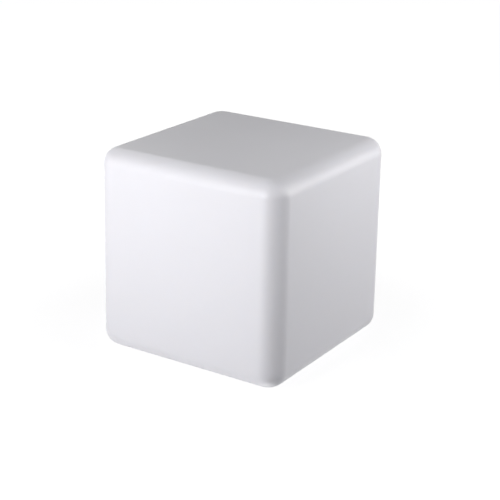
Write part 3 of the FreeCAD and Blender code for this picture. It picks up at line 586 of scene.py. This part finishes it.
def coil_spring(look):
    """A compression spring with closed ends: the last turn at each end lies almost flat."""
    low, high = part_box("button_spring")
    wire_radius = look.spring_wire / 2
    radius = (high[0] - low[0]) / 2 - wire_radius
    bottom, top = low[2] + wire_radius, high[2] - wire_radius
    turns, closed = look.spring_turns, 1.0
    closed_rise = 1.08 * 2 * wire_radius    # a closed turn lies on the next with hardly any air
    open_height = top - bottom - 2 * closed_rise * closed
    curve = bpy.data.curves.new("coil_spring", "CURVE")
    curve.dimensions = "3D"
    curve.bevel_depth, curve.bevel_resolution, curve.use_fill_caps = wire_radius, 3, True
    steps = int(turns * 28)
    line = curve.splines.new("POLY")
    line.points.add(steps)
    for i, point in enumerate(line.points):
        turn = turns * i / steps
        if turn < closed:
            height = closed_rise * turn
        elif turn > turns - closed:
            height = top - bottom - closed_rise * (turns - turn)
        else:
            height = closed_rise * closed + open_height * (turn - closed) / (turns - 2 * closed)
        angle = 2 * math.pi * turn
        around = Vector((radius * math.cos(angle), radius * math.sin(angle), bottom + height))
        point.co = (*(Vector(middle_of(low, high, 0)) + around), 1)
    carrier = new_object("coil_spring_line", curve)
    mesh = smooth(evaluated_mesh(carrier), 60.0)
    bpy.data.objects.remove(carrier)
    return mesh


class CUBELIGHT_OT_fasteners(CubeLightOperator, bpy.types.Operator):
    """Makes the cross-recessed screws and the return spring, and finishes the inserts and contacts"""
    bl_idname = "cube_light.fasteners"
    bl_label = "Fasteners"

    def execute(self, context):
        look = context.scene.cube_light_details
        steel = plain_metal("cold-headed stainless steel", "#C8C7C3", 0.28, (1, 1, 6), 1.2)
        zinc = plain_metal("bright zinc plating", "#C2C8D0", 0.22, (1, 1, 1), 1.5)
        for name, thread, material, slot, head_up in (
                ("base_screws", M4_PAN_HEAD, steel, "stainless_steel", False),
                ("cover_screws", M3_PAN_HEAD, steel, "stainless_steel", True),
                ("control_board_screws", M3_PAN_HEAD, zinc, "zinc_steel", True),
                ("clamp_screws", M3_PAN_HEAD, zinc, "zinc_steel", True),
                ("led_board_screws", M3_PAN_HEAD, zinc, "zinc_steel", True)):
            fit_piece(screws(name, thread, material, head_up), "housing", slot, name)
        spring = new_object("coil_spring", coil_spring(look),
                            plain_metal("drawn spring steel", "#B9BBBD", 0.25, (1, 1, 1), 0.6))
        fit_piece(spring, "housing", "stainless_steel", "button_spring")
        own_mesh(spring)
        paint(plain_metal("turned brass", "#CDA855", 0.3, (1, 1, 30), 1.0), "insert_nuts")
        paint(plain_metal("plain nickel", "#C9C3B6", 0.25, (1, 12, 1), 1.0), "socket_pin", "cell_strips")
        return {"FINISHED"}


class CUBELIGHT_OT_electronics(CubeLightOperator, bpy.types.Operator):
    """Finishes the battery, the boards and their leads"""
    bl_idname = "cube_light.electronics"
    bl_label = "Electronics"

    def execute(self, context):
        paint(circuit_board("green glass-fibre board", "#0E4B2C", "#1E6B42", 2.5), "control_board",
              "protection_board")
        paint(moulded_plastic("black epoxy packages", "#1B1B1D", 0.5, 0.3, 0.01), "board_chips")
        paint(moulded_plastic("natural nylon headers", "#E7E3D8", 0.4, 0.5, 0.01), "battery_header",
              "led_header", "led_plug")
        paint(sleeved_cell("#1F5FA6", "#C5C6C4", 31.0), "battery_cells")
        paint(moulded_plastic("red wire insulation", "#A81C14", 0.35, 1.0, 0.01), "battery_lead_positive")
        paint(moulded_plastic("black wire insulation", "#1B1B1C", 0.35, 1.0, 0.01), "battery_lead_negative")
        paint(moulded_plastic("white lead sleeve", "#DEDEDC", 0.4, 1.0, 0.01), "led_lead")
        paint(clear_plastic("clear epoxy lamp", "#F0F3E0", 1.54, 0.08), "indicator_lamp")
        return {"FINISHED"}


def led_packages(look):
    """White cups with a notched corner, each filled with a low dome of yellow phosphor."""
    boxes = solids_of("leds")
    low, high = boxes[0]
    height = (high.z - low.z) / MM
    places = []
    for low, high in boxes:
        x, y, foot = middle_of(low, high, low.z)
        places.append((x, y, foot, math.atan2(y, x)))
    half, notch, bevel = look.led_side / MM / 2, 0.7, 0.12
    rim_height, well_floor, floor_radius = 0.85 * height, 0.35 * height, 0.62 * half
    outline = [(-half + notch, -half), (half, -half), (half, half), (-half, half), (-half, -half + notch)]
    cup = prism("cup", [(x, y, 0.0) for x, y in outline], [(x, y, rim_height) for x, y in outline])
    well = lathed("well", [(0, well_floor), (floor_radius, well_floor), (0.86 * half, height),
                           (0, height)], 24)
    rounded = new_object("cup", carved(cup, well))
    edge = rounded.modifiers.new("edge", "BEVEL")
    edge.width, edge.segments, edge.limit_method = bevel * MM, 1, "ANGLE"
    cup = evaluated_mesh(rounded)
    bpy.data.objects.remove(rounded)
    # The dome starts just under the well's floor, so that no gap shows between the two.
    fill = lathed("fill", [(0, 0.3 * height), (floor_radius, 0.36 * height), (0.8 * half, 0.8 * height),
                           (0.6 * half, 0.9 * height), (0.3 * half, 0.97 * height), (0, height)], 24)
    white = moulded_plastic("white reflector polyamide", "#EDEDE8", 0.45, 0.4, 0.01)
    phosphor = moulded_plastic("yellow phosphor in silicone", "#DCC35A", 0.35, 0.4, 0.015)
    fit_piece(copies("led_cups", cup, places, white), "housing", "header_white", "leds")
    fit_piece(copies("led_phosphor_domes", fill, places, phosphor), "housing", "led_phosphor")


class CUBELIGHT_OT_light_engine(CubeLightOperator, bpy.types.Operator):
    """Makes the LEDs, and finishes their board, its deck and the clear cover"""
    bl_idname = "cube_light.light_engine"
    bl_label = "Light engine"

    def execute(self, context):
        paint(plain_metal("rolled aluminium sheet", "#D3D5D7", 0.35, (1, 40, 1), 2.0), "heat_spreader")
        paint(moulded_rubber("heat-transfer pad", "#858DA0", "#949CAE"), "thermal_pad")
        paint(circuit_board("white aluminium-backed board", "#E9E9E4", "#DADAD2", 5.0), "led_board")
        led_packages(context.scene.cube_light_details)
        paint(moulded_plastic("infra-red window resin", "#191219", 0.12, 2.0, 0.005), "remote_receiver")
        paint(clear_plastic("clear moulded polycarbonate", "#F7FAFB", 1.585, 0.02), "light_cover")
        return {"FINISHED"}


# ---- Stage ----
def camera_axes(azimuth, elevation):
    """Right, up and forward of a camera or lamp that looks at the cube, held level."""
    forward = Vector((-math.sin(azimuth) * math.cos(elevation), math.cos(azimuth) * math.cos(elevation),
                      -math.sin(elevation)))
    right = forward.cross(Vector((0, 0, 1))).normalized()
    return right, right.cross(forward), forward


def placed(right, up, forward, place):
    """The matrix of a camera or lamp at a place, from its three axes."""
    matrix = Matrix((right, up, -forward)).transposed().to_4x4()
    matrix.translation = place
    return matrix


def soft_light(name, power, size, azimuth, elevation, distance, target):
    """A square soft box that faces the target; its angles, in degrees, run as the camera's do."""
    right, up, forward = camera_axes(math.radians(azimuth), math.radians(elevation))
    data = bpy.data.lights.new(name, "AREA")
    data.size = size
    data.energy = power
    new_object(name, data).matrix_world = placed(right, up, forward, target - forward * distance)


# Name, watts, side in metres, azimuth and elevation in degrees, and distance in metres. Together they
# give the soft shading of the photograph; the last two are for the faces that the camera doesn't see.
# The first five come from a least-squares fit to the photograph's tones. The two front lights were then
# changed, and the last two were set.
SOFT_LIGHTS = (
    ("front light", 12.7, 0.6, -5, 15, 1.4),
    ("front left light", 4.8, 1.0, -45, 8, 1.6),
    ("high right light", 4.7, 0.6, 100, 35, 1.2),
    ("right light", 21.3, 1.2, 132, 8, 2.4),
    ("high back light", 8.3, 1.2, 240, 40, 2.4),
    ("low back left light", 28.0, 0.9, 232, -15, 2.4),
    ("under light", 24.0, 1.2, 0, -88, 2.4),
)


def seen_rays(tree):
    """The kinds of ray, and 1 for those of the camera, reflections and clear plastic, or else 0."""
    rays = add_node(tree, "ShaderNodeLightPath").outputs
    seen = add_node(tree, "ShaderNodeMath", {"operation": "MAXIMUM"},
                    {0: rays["Is Camera Ray"], 1: rays["Is Glossy Ray"]})
    seen = add_node(tree, "ShaderNodeMath", {"operation": "MAXIMUM"},
                    {0: seen.outputs[0], 1: rays["Is Transmission Ray"]})
    return rays, seen.outputs[0]


def paper_floor(look):
    """Pale paper. It looks white where it is lit, so only the cube's soft shadow shows on it."""
    material = bpy.data.materials.new("pale paper floor")
    material.use_nodes = True
    tree = material.node_tree
    tree.nodes.clear()
    place = add_node(tree, "ShaderNodeTexCoord").outputs["Object"]
    away = add_node(tree, "ShaderNodeVectorMath", {"operation": "LENGTH"}, {0: place}).outputs["Value"]
    whiteness = add_node(tree, "ShaderNodeMapRange", {
        "interpolation_type": "SMOOTHSTEP", "From Min": look.shadow_reach / 3, "From Max": look.shadow_reach,
        "To Min": 1.0 - look.shadow_depth, "To Max": 1.0}, {"Value": away}).outputs[0]
    dim_paper = add_node(tree, "ShaderNodeBsdfDiffuse", {"Color": look.floor_bounce})
    paper = add_node(tree, "ShaderNodeBsdfDiffuse", {"Color": look.floor_colour})
    white = add_node(tree, "ShaderNodeEmission", {"Color": (1, 1, 1, 1)}, {"Strength": whiteness})
    lit_paper = add_node(tree, "ShaderNodeAddShader", links={0: paper.outputs[0], 1: white.outputs[0]})
    rays, seen = seen_rays(tree)
    above = add_node(tree, "ShaderNodeMixShader",
                     links={0: seen, 1: dim_paper.outputs[0], 2: lit_paper.outputs[0]})
    # Seen from below the floor is left out, so that the cube's underside can be looked at.
    side = add_node(tree, "ShaderNodeNewGeometry").outputs["Backfacing"]
    from_below = add_node(tree, "ShaderNodeMath", {"operation": "MULTIPLY"},
                          {0: side, 1: rays["Is Camera Ray"]})
    nothing = add_node(tree, "ShaderNodeBsdfTransparent")
    floor = add_node(tree, "ShaderNodeMixShader",
                     links={0: from_below.outputs[0], 1: above.outputs[0], 2: nothing.outputs[0]})
    add_node(tree, "ShaderNodeOutputMaterial", links={"Surface": floor.outputs[0]})
    return material


def white_room():
    """White to the eye and in reflections; it gives no light of its own."""
    world = bpy.data.worlds.new("white room")
    world.use_nodes = True
    tree = world.node_tree
    tree.nodes.clear()
    seen = seen_rays(tree)[1]
    light = add_node(tree, "ShaderNodeBackground", {"Color": (1, 1, 1, 1)}, {"Strength": seen})
    add_node(tree, "ShaderNodeOutputWorld", links={"Surface": light.outputs[0]})
    return world


class CUBELIGHT_OT_stage(CubeLightOperator, bpy.types.Operator):
    """Sets up the floor, the soft lights and the camera of the photograph"""
    bl_idname = "cube_light.stage"
    bl_label = "Stage"

    def execute(self, context):
        look = context.scene.cube_light_stage
        low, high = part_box("shell")
        middle = (Vector(low) + Vector(high)) / 2

        mesh = bpy.data.meshes.new("floor")
        corners = [(x * FLOOR_REACH, y * FLOOR_REACH, 0) for x, y in ((-1, -1), (1, -1), (1, 1), (-1, 1))]
        mesh.from_pydata(corners, [], [(0, 1, 2, 3)])
        floor = new_object("floor", mesh, paper_floor(look))
        # The floor lets the low lights through, so that the underside can be seen too.
        floor.visible_shadow = False

        for name, power, size, azimuth, elevation, distance in SOFT_LIGHTS:
            soft_light(name, power * look.light_level, size, azimuth, elevation, distance, middle)

        right, up, forward = camera_axes(look.azimuth, look.elevation)
        roll = Matrix.Rotation(-look.roll, 3, forward)
        right, up = roll @ right, roll @ up
        data = bpy.data.cameras.new("camera")
        data.sensor_width = SENSOR_WIDTH
        data.lens = look.lens
        camera = new_object("camera", data)
        camera.matrix_world = placed(right, up, forward, middle - forward * look.distance
                                     - right * look.offset_right + up * look.offset_down)
        context.scene.camera = camera

        context.scene.world = white_room()
        context.scene.view_settings.view_transform = "Standard"
        return {"FINISHED"}


class CUBELIGHT_PT_looks(bpy.types.Panel):
    """Lists the steps that dress the cube light, with their settings"""
    bl_idname = "CUBELIGHT_PT_looks"
    bl_label = "Cube Light"
    bl_space_type = "VIEW_3D"
    bl_region_type = "UI"
    bl_category = "Cube Light"

    def draw(self, context):
        for operator in OPERATORS:
            self.layout.operator(operator.bl_idname)
        for title, settings in (("Shell", context.scene.cube_light_shell),
                                ("Details", context.scene.cube_light_details),
                                ("Stage", context.scene.cube_light_stage)):
            box = self.layout.box()
            box.label(text=title)
            for name in settings.__annotations__:
                box.prop(settings, name)


OPERATORS = (CUBELIGHT_OT_shell, CUBELIGHT_OT_base, CUBELIGHT_OT_fasteners, CUBELIGHT_OT_electronics,
             CUBELIGHT_OT_light_engine, CUBELIGHT_OT_stage)
CLASSES = (ShellLook, DetailLook, StageLook) + OPERATORS + (CUBELIGHT_PT_looks,)


def register():
    for cls in CLASSES:
        bpy.utils.register_class(cls)
    bpy.types.Scene.cube_light_shell = bpy.props.PointerProperty(type=ShellLook)
    bpy.types.Scene.cube_light_details = bpy.props.PointerProperty(type=DetailLook)
    bpy.types.Scene.cube_light_stage = bpy.props.PointerProperty(type=StageLook)


def unregister():
    del bpy.types.Scene.cube_light_stage
    del bpy.types.Scene.cube_light_details
    del bpy.types.Scene.cube_light_shell
    for cls in reversed(CLASSES):
        bpy.utils.unregister_class(cls)


def main():
    register()
    for operator in OPERATORS:
        group, name = operator.bl_idname.split(".")
        getattr(getattr(bpy.ops, group), name)()


if __name__ == "__main__":
    main()
